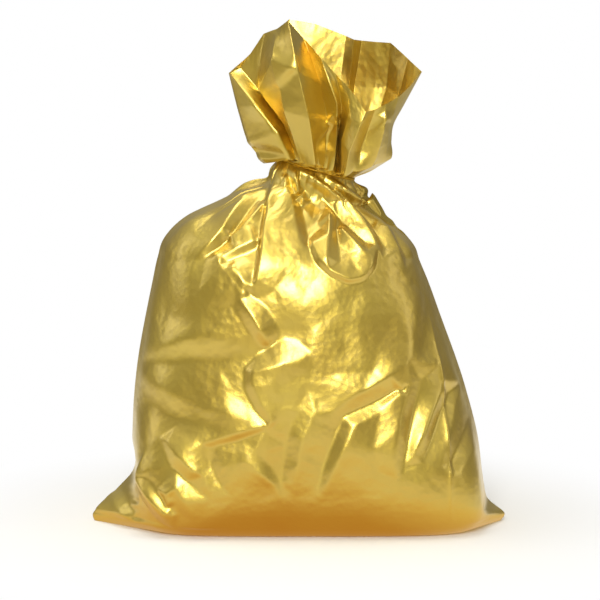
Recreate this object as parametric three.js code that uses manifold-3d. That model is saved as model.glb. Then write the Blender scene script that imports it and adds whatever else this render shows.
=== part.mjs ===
// A metallised-film gift bag, stuffed and tied at the neck, as an assembly of separate solids.
//
// Units are millimetres. +Z is up, -Y is the front of the bag, and the origin is on the surface that
// the bag stands on, under the middle of its bounding box.
//
// The bag is two film panels welded along both sides and the bottom. Wads of crumpled tissue fill it.
// A twist tie gathers the film at the neck, and the film above the tie stands up as a loose frill.
// The gathered neck is a soft joint: the frill leans and sways on it. Each film solid is drawn thicker
// than film, so that it has a wall that can be made and touched.

import * as THREE from "three";
import { mergeVertices } from "three/addons/utils/BufferGeometryUtils.js";
import { ConvexGeometry } from "three/addons/geometries/ConvexGeometry.js";
import Module from "manifold-3d";

const wasm = await Module();
wasm.setup();

// ---------------------------------------------------------------- driving dimensions

const WALL = 1.6; // drawn thickness of a film solid
const GAP = 0.3; // between two solids that would touch
const FAR = 600; // longer than the bag in every direction

// The neck: where the tie sits, which is also where the frill leans and sways.
const NECK = new THREE.Vector3(15, 0, 300);
const NECK_TILT = 16; // degrees that the tie slopes down towards the right
// Half sizes of three rounded spaces about the neck's centre.
const NECK_ROOM = [34.5, 24, 24]; // the gathered film stays inside this one as it leans
const SACK_CLEAR = [38, 26, 26]; // the sack stays outside this one
const FRILL_CLEAR = [38.5, 26, 38.5]; // and the frill outside this one as it sways
const NECK_PLEATS = 14;
// The gathered film from below the tie to above it, as a rise and a share of its size at the tie.
const NECK_PROFILE = [
  [-17, 0.62],
  [-11, 0.92],
  [-5, 1.03],
  [-2.4, 1],
  [2.4, 1],
  [5, 1.03],
  [11, 0.92],
  [17, 0.62],
];
const NECK_PLEAT_DEPTH = 0.07; // as a share of the radius

// The filled sack, from the floor up: how far it reaches left, right, front and back at each height.
const SACK = [
  { z: 0, left: 122, right: 148, front: 58, back: 58 },
  { z: 12, left: 136, right: 160, front: 71, back: 71 },
  { z: 46, left: 138, right: 155, front: 78, back: 78 },
  { z: 80, left: 138, right: 148, front: 78, back: 78 },
  { z: 125, left: 134, right: 134, front: 76, back: 76 },
  { z: 164, left: 128, right: 121, front: 71, back: 71 },
  { z: 203, left: 120, right: 108, front: 63, back: 63 },
  { z: 232, left: 113, right: 95, front: 54, back: 54 },
  { z: 254, left: 88, right: 74, front: 44, back: 44 },
  { z: 272, left: 42, right: 54, front: 33, back: 33 },
  { z: 282, left: 14, right: 44, front: 25, back: 25 },
];
const SACK_SIDES = 44;
const SACK_HEIGHTS = [0, 4, 12, 30, 46, 80, 125, 164, 193, 217, 234, 248, 260, 271, 282]; // of its rings
const SACK_SQUARENESS = 2.3; // 2 is an ellipse, and higher is nearer a rectangle

// The two unfilled bottom corners, where the welded film lies out flat beyond the filling.
const LEFT_EAR = [
  [-175, -9, 0],
  [-175, 3, 0],
  [-175, -3, 6],
  [-152, -6, 38],
  [-150, 6, 38],
  [-134, 0, 45],
  [-100, -62, 0],
  [-100, 40, 0],
  [-134, -40, 0],
  [-110, 0, 30],
];
const RIGHT_EAR = [
  [175, -2, 0],
  [175, 6, 0],
  [175, 2, 9],
  [156, -6, 36],
  [150, 8, 40],
  [120, -56, 0],
  [120, 50, 0],
  [158, -30, 0],
];

// The frill: an open, pleated fan of film above the tie, as rings from the neck to the rim.
const FRILL = [
  { left: -25, right: 55, depth: 27, leftZ: 314, rightZ: 305, pleat: 0.02 },
  { left: -43, right: 74, depth: 34, leftZ: 323, rightZ: 312, pleat: 0.05 },
  { left: -49, right: 82, depth: 39, leftZ: 347, rightZ: 339, pleat: 0.08 },
];
const RIM = { left: -58, right: 102, depth: 44, pleat: 0.11 };
// The rim's height from its left corner to its right one, at the back and at the front.
const RIM_BACK = [378, 406, 422, 412, 402, 400, 379];
const RIM_FRONT = [378, 404, 417, 396, 376, 366, 379];
const FRILL_SIDES = 72;
const FRILL_PLEATS = 9;
const MOUTH_CLEAR = 40; // how far above the rim the frill's inside is cut away

// The twist tie: a coated wire round the neck, its ends twisted into a stem behind it.
const TIE_RADIUS = 1.1;
const TIE_LOOP_X = 32.6; // half width of the loop, to the middle of the wire
const TIE_LOOP_Y = 20;
const TIE_LOOP_GAP = 7; // degrees left open behind the neck, where the ends turn out
const TIE_SIDES = 6;
const TIE_LOOP_STEPS = 56;
const TIE_STRAND_STEPS = 44;
const STEM_START = TIE_LOOP_Y + 2.2; // behind the neck's centre
const STEM_LENGTH = 11;
const STEM_TURNS = 1.5;
const STEM_OFFSET = TIE_RADIUS + GAP / 2; // each strand from the stem's axis
const TAIL_SPREAD = 21; // sideways reach of each tail
const TAIL_REACH = 12; // and how far back it goes
const TAIL_RISE = 7;

// The stuffing: crumpled tissue wads, in layers. Each has a centre and three half sizes.
const WADS = [
  { at: [-84, 0, 45], size: [44, 66, 41] },
  { at: [6, 0, 45], size: [43, 69, 41] },
  { at: [99, 0, 45], size: [47, 66, 41] },
  { at: [-80, 0, 130], size: [46, 64, 41] },
  { at: [6, 0, 130], size: [38, 68, 41] },
  { at: [84, 0, 128], size: [38, 63, 40] },
  { at: [-58, 0, 206], size: [46, 52, 34] },
  { at: [38, 0, 206], size: [46, 53, 34] },
  { at: [6, 0, 257], size: [34, 30, 16] },
];
const WAD_DETAIL = 2; // subdivisions of each wad's icosahedron
const WAD_CRUMPLE = 0.055; // how far its surface wanders, as a share of its size

// Starting points, which the record's materials and the renderer then set for good.
const GOLD_FILM = { color: 0xc39b2e, roughness: 0.28, metalness: 1 };
const GOLD_TIE = { color: 0xb98f22, roughness: 0.35, metalness: 1 };
const TISSUE = { color: 0xf2ede2, roughness: 0.9, metalness: 0 };

// ---------------------------------------------------------------- solids

/** A manifold solid from a closed three.js geometry. */
function solid(geometry) {
  const bare = geometry.index ? geometry.toNonIndexed() : geometry.clone();
  bare.deleteAttribute("normal");
  bare.deleteAttribute("uv");
  const merged = mergeVertices(bare, 1e-3);
  return new wasm.Manifold(
    new wasm.Mesh({
      numProp: 3,
      vertProperties: new Float32Array(merged.attributes.position.array),
      triVerts: new Uint32Array(merged.index.array),
    }),
  );
}

/** The three.js geometry of a manifold solid. */
function geometryOf(made) {
  const mesh = made.getMesh();
  const geometry = new THREE.BufferGeometry();
  geometry.setAttribute("position", new THREE.BufferAttribute(new Float32Array(mesh.vertProperties), 3));
  geometry.setIndex(new THREE.BufferAttribute(new Uint32Array(mesh.triVerts), 1));
  geometry.computeVertexNormals();
  return geometry;
}

/** A closed geometry through rings of points that all have the same count, lowest ring first. */
function loft(rings) {
  const count = rings[0].length;
  const points = rings.flat();
  const faces = [];
  for (let level = 0; level + 1 < rings.length; level++) {
    for (let i = 0; i < count; i++) {
      const a = level * count + i;
      const b = level * count + ((i + 1) % count);
      faces.push(a, b, b + count, a, b + count, a + count);
    }
  }
  for (const [ring, upwards] of [[rings[0], false], [rings[rings.length - 1], true]]) {
    const start = upwards ? (rings.length - 1) * count : 0;
    const centre = ring.reduce((sum, p) => sum.add(p), new THREE.Vector3()).divideScalar(count);
    const hub = points.push(centre) - 1;
    for (let i = 0; i < count; i++) {
      const a = start + i;
      const b = start + ((i + 1) % count);
      faces.push(...(upwards ? [a, b, hub] : [b, a, hub]));
    }
  }
  const geometry = new THREE.BufferGeometry().setFromPoints(points);
  geometry.setIndex(faces);
  return geometry;
}

/** Everything in front of the welds, or everything behind them, with half a gap left at the weld. */
function halfSpace(front) {
  const box = new THREE.BoxGeometry(FAR, FAR, 2 * FAR);
  box.translate(0, ((front ? -1 : 1) * (FAR + GAP)) / 2, FAR / 2);
  return solid(box);
}

/** A rounded space about the neck's centre, from its three half sizes. */
function neckSpace(halfSizes) {
  const ball = new THREE.IcosahedronGeometry(1, 6);
  ball.scale(...halfSizes).translate(...NECK);
  return solid(ball);
}

// ---------------------------------------------------------------- the sack

/** The sack's reach at a height, from a smooth curve through SACK. */
function sackReach(z, key) {
  const curve = new THREE.SplineCurve(SACK.map((row) => new THREE.Vector2(row.z, row[key])));
  let low = 0;
  let high = 1;
  for (let step = 0; step < 24; step++) {
    const middle = (low + high) / 2;
    if (curve.getPoint(middle).x < z) low = middle;
    else high = middle;
  }
  return curve.getPoint((low + high) / 2).y;
}

/** One ring round the sack, drawn in by a wall's thickness where inset is set. */
function sackRing(z, inset, drawnAt = z) {
  const left = sackReach(z, "left") - inset;
  const right = sackReach(z, "right") - inset;
  const front = sackReach(z, "front") - inset;
  const back = sackReach(z, "back") - inset;
  const power = 2 / SACK_SQUARENESS;
  return Array.from({ length: SACK_SIDES }, (_, i) => {
    const angle = ((i + 0.5) / SACK_SIDES) * 2 * Math.PI;
    const c = Math.cos(angle);
    const s = Math.sin(angle);
    const x = Math.sign(c) * Math.abs(c) ** power * (c < 0 ? left : right);
    const y = Math.sign(s) * Math.abs(s) ** power * (s < 0 ? front : back);
    return new THREE.Vector3(x, y, drawnAt);
  });
}

/** The front and back film panels: a thin shell round the filling, with its two flat corners. */
function sackPanels() {
  const top = SACK_HEIGHTS[SACK_HEIGHTS.length - 1];
  let outer = solid(loft(SACK_HEIGHTS.map((z) => sackRing(z, 0))));
  for (const ear of [LEFT_EAR, RIGHT_EAR]) {
    outer = outer.add(solid(new ConvexGeometry(ear.map((p) => new THREE.Vector3(...p)))));
  }
  const inside = SACK_HEIGHTS.map((z) => sackRing(z, WALL, Math.max(z, WALL)));
  inside.push(sackRing(top, WALL, top + WALL));
  const shell = outer.subtract(solid(loft(inside))).subtract(neckSpace(SACK_CLEAR));
  return {
    front: shell.intersect(halfSpace(true)),
    back: shell.intersect(halfSpace(false)),
  };
}

/** The room inside the film, less the gap that the filling keeps from it. */
function fillingRoom() {
  return solid(loft(SACK_HEIGHTS.map((z) => sackRing(z, WALL + GAP, Math.max(z, WALL + GAP)))));
}

/** One wad of crumpled tissue: a wandering ball that the film and the neck press flat where they meet. */
function tissueWad({ at, size }, index, room) {
  const ball = new THREE.IcosahedronGeometry(1, WAD_DETAIL);
  const position = ball.attributes.position;
  const p = new THREE.Vector3();
  for (let i = 0; i < position.count; i++) {
    p.fromBufferAttribute(position, i);
    const wander = Math.sin(5.1 * p.x + 1.7 * index) * Math.sin(4.3 * p.y + 2.9 * index) * Math.sin(4.7 * p.z + index);
    p.multiplyScalar(1 - WAD_CRUMPLE * (1 + wander));
    position.setXYZ(i, p.x * size[0], p.y * size[1], p.z * size[2]);
  }
  ball.translate(...at);
  return solid(ball).intersect(room);
}

// ---------------------------------------------------------------- the neck and the tie

/** Slopes a level geometry as the tied neck slopes, about the neck's centre. */
function tilted(geometry) {
  const { x, y, z } = NECK;
  return geometry.translate(-x, -y, -z).rotateY(THREE.MathUtils.degToRad(NECK_TILT)).translate(x, y, z);
}

/** The film gathered inside the tie: a short pleated plug with a waist where the tie sits. */
function gatheredNeck() {
  const halfWidth = TIE_LOOP_X - TIE_RADIUS - GAP;
  const halfDepth = TIE_LOOP_Y - TIE_RADIUS - GAP;
  const sides = NECK_PLEATS * 4;
  const rings = NECK_PROFILE.map(([rise, share]) =>
    Array.from({ length: sides }, (_, i) => {
      const angle = (i / sides) * 2 * Math.PI;
      const reach = share * (1 + NECK_PLEAT_DEPTH * (Math.cos(NECK_PLEATS * angle) - 1));
      return new THREE.Vector3(
        NECK.x + halfWidth * reach * Math.cos(angle),
        halfDepth * reach * Math.sin(angle),
        NECK.z + rise,
      );
    }),
  );
  return solid(tilted(loft(rings))).intersect(neckSpace(NECK_ROOM));
}

/** A round bar along a curve, closed at both ends. */
function bar(curve, steps) {
  const section = new THREE.Shape();
  for (let i = 0; i < TIE_SIDES; i++) {
    const angle = (i / TIE_SIDES) * 2 * Math.PI;
    const point = [TIE_RADIUS * Math.cos(angle), TIE_RADIUS * Math.sin(angle)];
    if (i === 0) section.moveTo(...point);
    else section.lineTo(...point);
  }
  section.closePath();
  return new THREE.ExtrudeGeometry(section, { extrudePath: curve, steps, bevelEnabled: false });
}

/** The part of the tie that goes round the neck, open behind where its ends turn out. */
function tieLoop() {
  const open = THREE.MathUtils.degToRad(TIE_LOOP_GAP);
  const points = Array.from({ length: 33 }, (_, i) => {
    const angle = Math.PI / 2 + open + (i / 32) * 2 * (Math.PI - open);
    return new THREE.Vector3(NECK.x + TIE_LOOP_X * Math.cos(angle), TIE_LOOP_Y * Math.sin(angle), NECK.z);
  });
  return bar(new THREE.CatmullRomCurve3(points), TIE_LOOP_STEPS);
}

/** One strand of the tie: half of the twisted stem, then its own free tail. side is -1 or 1. */
function tieStrand(side) {
  const points = [];
  const stemPoints = 16;
  for (let i = 0; i <= stemPoints; i++) {
    const share = i / stemPoints;
    const angle = (side < 0 ? Math.PI : 0) + (share - 1) * STEM_TURNS * 2 * Math.PI;
    points.push(
      new THREE.Vector3(
        NECK.x + STEM_OFFSET * Math.cos(angle),
        STEM_START + share * STEM_LENGTH,
        NECK.z + STEM_OFFSET * Math.sin(angle),
      ),
    );
  }
  for (const share of [0.3, 0.65, 1]) {
    points.push(
      new THREE.Vector3(
        NECK.x + side * (STEM_OFFSET + TAIL_SPREAD * share),
        STEM_START + STEM_LENGTH + TAIL_REACH * Math.sqrt(share) * 0.95,
        NECK.z + TAIL_RISE * share * share,
      ),
    );
  }
  return bar(new THREE.CatmullRomCurve3(points, false, "centripetal"), TIE_STRAND_STEPS);
}

// ---------------------------------------------------------------- the frill

/** The rim's height at a share of the way from its left corner to its right one. */
function rimHeight(heights, share) {
  const curve = new THREE.SplineCurve(heights.map((z, i) => new THREE.Vector2(i, z)));
  return curve.getPoint(THREE.MathUtils.clamp(share, 0, 1)).y;
}

/** One ring of the frill. height gives z at a share of the way across, at the front or the back. */
function frillRing({ left, right, depth, pleat }, inset, height) {
  const middle = (left + right) / 2;
  const reach = (right - left) / 2 - inset;
  return Array.from({ length: FRILL_SIDES }, (_, i) => {
    const angle = ((i + 0.5) / FRILL_SIDES) * 2 * Math.PI;
    const fold = 1 + pleat * Math.cos(2 * FRILL_PLEATS * angle);
    const x = middle + reach * Math.cos(angle);
    const y = (depth - inset) * fold * Math.sin(angle);
    return new THREE.Vector3(x, y, height((Math.cos(angle) + 1) / 2, Math.sin(angle) < 0));
  });
}

/** The two halves of the frill: a thin open fan, parted at its side welds. */
function frillHalves() {
  const rim = (raised) => (share, front) => rimHeight(front ? RIM_FRONT : RIM_BACK, share) + raised;
  const slope = (row, raised) => (share) => THREE.MathUtils.lerp(row.leftZ, row.rightZ, share) + raised;
  const outer = FRILL.map((row) => frillRing(row, 0, slope(row, 0)));
  const inner = FRILL.map((row, i) => frillRing(row, WALL, slope(row, i < 2 ? WALL : 0)));
  inner.unshift(frillRing(FRILL[0], WALL, slope(FRILL[0], -WALL)));
  outer.push(frillRing(RIM, 0, rim(0)));
  inner.push(frillRing(RIM, WALL, rim(0)));
  inner.push(frillRing(RIM, WALL, rim(MOUTH_CLEAR)));
  const shell = solid(loft(outer)).subtract(solid(loft(inner))).subtract(neckSpace(FRILL_CLEAR));
  return {
    front: shell.intersect(halfSpace(true)),
    back: shell.intersect(halfSpace(false)),
  };
}

// ---------------------------------------------------------------- the assembly

const bag = new THREE.Group();

/** Adds one named piece to the bag. */
function add(name, geometry, finish) {
  const piece = new THREE.Mesh(geometry, new THREE.MeshStandardMaterial(finish));
  piece.name = name;
  bag.add(piece);
}

const panels = sackPanels();
add("front_panel", geometryOf(panels.front), GOLD_FILM);
add("back_panel", geometryOf(panels.back), GOLD_FILM);
const room = fillingRoom().subtract(neckSpace(SACK_CLEAR));
WADS.forEach((wad, i) => add("tissue_wad_" + (i + 1), geometryOf(tissueWad(wad, i, room)), TISSUE));
add("neck_gather", geometryOf(gatheredNeck()), GOLD_FILM);
add("tie_loop", tilted(tieLoop()), GOLD_TIE);
add("tie_strand_left", tilted(tieStrand(-1)), GOLD_TIE);
add("tie_strand_right", tilted(tieStrand(1)), GOLD_TIE);
const frill = frillHalves();
add("frill_front", geometryOf(frill.front), GOLD_FILM);
add("frill_back", geometryOf(frill.back), GOLD_FILM);

export default bag;
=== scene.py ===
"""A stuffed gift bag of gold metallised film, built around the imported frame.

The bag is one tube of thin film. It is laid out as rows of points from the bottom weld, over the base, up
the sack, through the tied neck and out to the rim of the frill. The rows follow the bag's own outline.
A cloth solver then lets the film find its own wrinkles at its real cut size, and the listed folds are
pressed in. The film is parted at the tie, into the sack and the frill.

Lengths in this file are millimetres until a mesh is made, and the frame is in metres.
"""

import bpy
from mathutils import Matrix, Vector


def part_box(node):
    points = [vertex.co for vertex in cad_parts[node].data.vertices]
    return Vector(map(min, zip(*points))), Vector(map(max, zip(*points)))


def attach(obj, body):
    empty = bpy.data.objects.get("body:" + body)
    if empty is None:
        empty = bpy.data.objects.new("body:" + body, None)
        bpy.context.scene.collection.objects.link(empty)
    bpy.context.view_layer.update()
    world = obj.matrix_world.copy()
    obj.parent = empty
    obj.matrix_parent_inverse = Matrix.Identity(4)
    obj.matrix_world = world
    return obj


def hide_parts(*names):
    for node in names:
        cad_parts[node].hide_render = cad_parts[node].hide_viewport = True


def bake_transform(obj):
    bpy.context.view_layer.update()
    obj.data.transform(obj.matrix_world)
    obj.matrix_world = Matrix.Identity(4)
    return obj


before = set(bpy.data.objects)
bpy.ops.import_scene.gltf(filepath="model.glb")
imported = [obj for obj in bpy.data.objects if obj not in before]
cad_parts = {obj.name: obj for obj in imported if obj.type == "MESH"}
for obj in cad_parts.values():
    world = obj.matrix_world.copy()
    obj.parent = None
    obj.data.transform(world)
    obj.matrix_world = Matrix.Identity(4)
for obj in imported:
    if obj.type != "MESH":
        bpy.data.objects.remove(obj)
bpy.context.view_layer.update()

import logging
import math
from dataclasses import dataclass, field
from enum import Enum

import bmesh
import bpy
import numpy as np
from mathutils import Vector
from mathutils.geometry import delaunay_2d_cdt

MM = 0.001
NEAR_ZERO = 1e-9
FLAT_SACK = 385.0  # from the bottom weld to the tie
FLAT_FRILL = 115.0  # from the tie to the rim
NECK = (15.0, 0.0, 300.0)  # the middle of the tie
NECK_TILT = 16.0  # degrees that the tie slopes down to the right
FOLD_STEP = 4.0  # between the marks along a fold line
log = logging.getLogger("gift_bag")


# ---------------------------------------------------------------- small tools


def linear(hex_colour: str) -> tuple[float, float, float, float]:
    """Turns an sRGB hex colour into linear RGBA.

    Args:
        hex_colour: Six hex digits, such as "c9a23c".

    Returns:
        Red, green, blue and an alpha of 1, all linear.
    """
    parts = [int(hex_colour[i : i + 2], 16) / 255 for i in (0, 2, 4)]
    return (*(p / 12.92 if p <= 0.04045 else ((p + 0.055) / 1.055) ** 2.4 for p in parts), 1.0)


def add_node(tree: bpy.types.NodeTree, kind: str, links: dict | None = None, **settings) -> bpy.types.Node:
    """Adds one shader node.

    Args:
        tree: The node tree to add to.
        kind: The node's Blender type name, after "ShaderNode".
        links: Input socket name or index to the output socket that feeds it.
        settings: Node properties, and input sockets by name with spaces as underscores.

    Returns:
        The new node.
    """
    node = tree.nodes.new("ShaderNode" + kind)
    for name, value in settings.items():
        if hasattr(node, name):
            setattr(node, name, value)
        else:
            node.inputs[name.replace("_", " ")].default_value = value
    for socket, source in (links or {}).items():
        tree.links.new(source, node.inputs[socket])
    return node


def paint_ramp(ramp: bpy.types.ColorRamp, stops: tuple[tuple[float, str], ...]) -> None:
    """Sets a colour ramp's stops.

    Args:
        ramp: The ramp, which starts with two stops.
        stops: Each stop's position and sRGB hex colour.
    """
    while len(ramp.elements) < len(stops):
        ramp.elements.new(0.5)
    for stop, (at, colour) in zip(ramp.elements, stops):
        stop.position = at
        stop.color = linear(colour)


def new_material(name: str) -> tuple[bpy.types.Material, bpy.types.NodeTree, bpy.types.NodeSocket]:
    """Starts a material.

    Args:
        name: What it is called.

    Returns:
        The material, its empty node tree, and the socket that gives each point's place on the object.
    """
    made = bpy.data.materials.new(name)
    made.use_nodes = True
    made.node_tree.nodes.clear()
    return made, made.node_tree, add_node(made.node_tree, "TexCoord").outputs["Object"]


def finish_surface(tree: bpy.types.NodeTree, links: dict, **settings) -> None:
    """Ends a material with its surface shader.

    Args:
        tree: The material's node tree.
        links: The shader's input sockets to the output sockets that feed them.
        settings: The shader's other inputs, by name with spaces as underscores.
    """
    shader = add_node(tree, "BsdfPrincipled", links, **settings)
    add_node(tree, "OutputMaterial", {"Surface": shader.outputs["BSDF"]})


def smoothstep(low: float, high: float, at: np.ndarray) -> np.ndarray:
    """Rises smoothly from 0 to 1.

    Args:
        low: Where the rise starts.
        high: Where it ends.
        at: The places to read it.

    Returns:
        The height of the rise at each place.
    """
    share = np.clip((at - low) / (high - low), 0, 1)
    return share * share * (3 - 2 * share)


def curve_through(knots: np.ndarray, values: np.ndarray, at: np.ndarray) -> np.ndarray:
    """Follows a smooth curve through values at knots.

    Args:
        knots: Increasing parameters.
        values: One value, or one array, for each knot.
        at: Where to read the curve.

    Returns:
        The curve's value at each place, stacked along the first axis.
    """
    knots, values, at = (np.asarray(a, float) for a in (knots, values, at))
    slopes = np.gradient(values, knots, axis=0)
    i = np.clip(np.searchsorted(knots, at, side="right") - 1, 0, len(knots) - 2)
    step = knots[i + 1] - knots[i]
    shape = (-1,) + (1,) * (values.ndim - 1)
    t = ((at - knots[i]) / step).reshape(shape)
    step = step.reshape(shape)
    t2, t3 = t * t, t * t * t
    return (
        (2 * t3 - 3 * t2 + 1) * values[i]
        + (t3 - 2 * t2 + t) * step * slopes[i]
        + (3 * t2 - 2 * t3) * values[i + 1]
        + (t3 - t2) * step * slopes[i + 1]
    )


def read_along(points: np.ndarray, knots: np.ndarray, at: np.ndarray) -> np.ndarray:
    """Reads points off a polyline.

    Args:
        points: The polyline, one row for each point.
        knots: Each point's increasing parameter.
        at: The parameters to read.

    Returns:
        One point for each parameter.
    """
    return np.stack([np.interp(at, knots, points[:, k]) for k in range(points.shape[1])], axis=1)


def evenly_along(points: np.ndarray, count: int) -> np.ndarray:
    """Spaces points evenly by length along a polyline.

    Args:
        points: The polyline, one row for each point.
        count: How many points to return, both ends included.

    Returns:
        The evenly spaced points.
    """
    steps = np.linalg.norm(np.diff(points, axis=0), axis=1)
    length = np.concatenate([[0], np.cumsum(steps)])
    return read_along(points, length, np.linspace(0, length[-1], count))


def grid_normals(points: np.ndarray) -> np.ndarray:
    """Finds the outward unit normals of a grid.

    Args:
        points: Rows of points, in which each row closes on itself.

    Returns:
        One normal for each point.
    """
    across = np.roll(points, -1, axis=1) - np.roll(points, 1, axis=1)
    up = np.gradient(points, axis=0)
    normal = np.cross(across, up)
    return normal / np.maximum(np.linalg.norm(normal, axis=2, keepdims=True), NEAR_ZERO)


def doubled(grid: np.ndarray) -> np.ndarray:
    """Makes a grid twice as fine.

    Args:
        grid: Rows of points, in which each row closes on itself.

    Returns:
        The grid with a new row between every two rows, and a new column between every two columns.
    """
    rows = len(grid)
    tall = curve_through(np.arange(rows), grid, np.arange(2 * rows - 1) / 2)
    near = 9 * (tall + np.roll(tall, -1, axis=1))
    middle = (near - np.roll(tall, 1, axis=1) - np.roll(tall, -2, axis=1)) / 16
    return np.stack([tall, middle], axis=2).reshape(len(tall), -1, 3)


def softened(heights: np.ndarray, passes: int) -> np.ndarray:
    """Rounds off the crests of a grid of heights.

    Args:
        heights: The grid of heights.
        passes: How often each height is mixed with those round it.

    Returns:
        The softened grid.
    """
    for _ in range(passes):
        wide = np.pad(heights, 1, mode="edge")
        rows = (wide[:-2] + 2 * wide[1:-1] + wide[2:]) / 4
        heights = (rows[:, :-2] + 2 * rows[:, 1:-1] + rows[:, 2:]) / 4
    return heights


def tube_faces(rows: int, columns: int) -> list[tuple[int, ...]]:
    """Lists the quads of a grid of points whose rows are closed rings.

    Args:
        rows: How many rings there are.
        columns: How many points a ring has.

    Returns:
        The four corners of each quad.
    """
    faces = []
    for low in range(0, (rows - 1) * columns, columns):
        high = low + columns
        for c in range(columns):
            after = (c + 1) % columns
            faces.append((low + c, low + after, high + after, high + c))
    return faces


def mesh_object(
    name: str, points: np.ndarray, faces: list[tuple[int, ...]], material: bpy.types.Material
) -> bpy.types.Object:
    """Makes a smooth-shaded object from points in millimetres.

    Args:
        name: The object's name.
        points: The vertices, in millimetres.
        faces: Vertex indices of each face.
        material: What it is made of.

    Returns:
        The new object, linked into the scene.
    """
    mesh = bpy.data.meshes.new(name)
    mesh.from_pydata((np.asarray(points).reshape(-1, 3) * MM).tolist(), [], faces)
    mesh.polygons.foreach_set("use_smooth", [True] * len(mesh.polygons))
    mesh.materials.append(material)
    mesh.update()
    made = bpy.data.objects.new(name, mesh)
    bpy.context.scene.collection.objects.link(made)
    return made


def at_neck(x: np.ndarray, y: np.ndarray, z: np.ndarray) -> np.ndarray:
    """Tilts a level shape as the tied neck slopes, and moves it there.

    Args:
        x: How far each point is to the right of the neck's middle.
        y: How far behind it.
        z: How far above it.

    Returns:
        The points, in one array.
    """
    fall = math.radians(NECK_TILT)
    return np.stack(
        [
            NECK[0] + x * math.cos(fall) + z * math.sin(fall),
            NECK[1] + y,
            NECK[2] - x * math.sin(fall) + z * math.cos(fall),
        ],
        axis=-1,
    )


# ---------------------------------------------------------------- finishes


@dataclass(frozen=True)
class GoldFilm:
    """Metallised polypropylene film: a vapour-deposited metal layer under a gold lacquer.

    The metal gives mirror-like highlights, and the film's slight haze spreads them into soft streaks.
    """

    name: str = "gold_metallised_film"
    deep: str = "d2ac2c"
    pale: str = "dcc44c"
    clear: float = 0.33  # roughness where the film is clearest
    hazy: float = 0.44  # and where it is haziest
    coat: float = 1.0
    coat_ior: float = 1.75
    coat_roughness: float = 0.31
    drift_mm: float = 60.0
    crinkle_mm: float = 5.0
    grain_mm: float = 0.9

    def material(self) -> bpy.types.Material:
        """Builds the node material.

        Returns:
            The material.
        """
        made, tree, place = new_material(self.name)
        drift = add_node(tree, "TexNoise", {"Vector": place}, Scale=1 / (self.drift_mm * MM), Detail=3.0)
        tone = add_node(tree, "Mix", {"Factor": drift.outputs["Fac"]}, data_type="RGBA")
        tone.inputs[6].default_value = linear(self.deep)
        tone.inputs[7].default_value = linear(self.pale)
        thick = {"Value": drift.outputs["Fac"]}
        haze = add_node(tree, "MapRange", thick, To_Min=self.clear, To_Max=self.hazy)
        # The lacquer crinkles with the film, in small cells with a fine grain on them.
        size = self.crinkle_mm * MM
        cells = add_node(tree, "TexVoronoi", {"Vector": place}, feature="F1", Scale=1 / size)
        grain = add_node(tree, "TexNoise", {"Vector": place}, Scale=1 / (self.grain_mm * MM))
        facets = add_node(tree, "Bump", {"Height": cells.outputs["Distance"]}, Strength=0.3, Distance=0.0006)
        skin = add_node(
            tree,
            "Bump",
            {"Height": grain.outputs["Fac"], "Normal": facets.outputs["Normal"]},
            Strength=0.04,
            Distance=0.0002,
        )
        finish_surface(
            tree,
            {
                "Base Color": tone.outputs[2],
                "Roughness": haze.outputs["Result"],
                "Normal": skin.outputs["Normal"],
            },
            Metallic=1.0,
            Coat_Weight=self.coat,
            Coat_IOR=self.coat_ior,
            Coat_Roughness=self.coat_roughness,
        )
        return made


@dataclass(frozen=True)
class TieFoil:
    """Gold foil laminated over a soft steel wire: the laminating gives it a brighter, harder shine.

    The roller leaves a fine ribbing across it, which breaks the shine up.
    """

    name: str = "twist_tie_foil"
    colour: str = "cda53a"
    roughness: float = 0.3
    rib_mm: float = 0.7

    def material(self) -> bpy.types.Material:
        """Builds the node material.

        Returns:
            The material.
        """
        made, tree, place = new_material(self.name)
        ribs = add_node(tree, "TexNoise", {"Vector": place}, Scale=1 / (self.rib_mm * MM), Detail=2.0)
        bump = add_node(tree, "Bump", {"Height": ribs.outputs["Fac"]}, Strength=0.2, Distance=0.0002)
        finish_surface(
            tree,
            {"Normal": bump.outputs["Normal"]},
            Base_Color=linear(self.colour),
            Roughness=self.roughness,
            Metallic=1.0,
        )
        return made


@dataclass(frozen=True)
class TissuePaper:
    """White packing tissue: matt, thin, and crossed by the sharp lines of its crumpling."""

    name: str = "white_tissue_paper"
    colour: str = "efece4"
    roughness: float = 0.85
    crumple_mm: float = 9.0

    def material(self) -> bpy.types.Material:
        """Builds the node material.

        Returns:
            The material.
        """
        made, tree, place = new_material(self.name)
        lines = add_node(
            tree,
            "TexVoronoi",
            {"Vector": place},
            feature="DISTANCE_TO_EDGE",
            Scale=1 / (self.crumple_mm * MM),
        )
        bump = add_node(tree, "Bump", {"Height": lines.outputs["Distance"]}, Strength=0.5, Distance=0.001)
        finish_surface(
            tree,
            {"Normal": bump.outputs["Normal"]},
            Base_Color=linear(self.colour),
            Roughness=self.roughness,
        )
        return made


# ---------------------------------------------------------------- the film as a cloth


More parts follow.
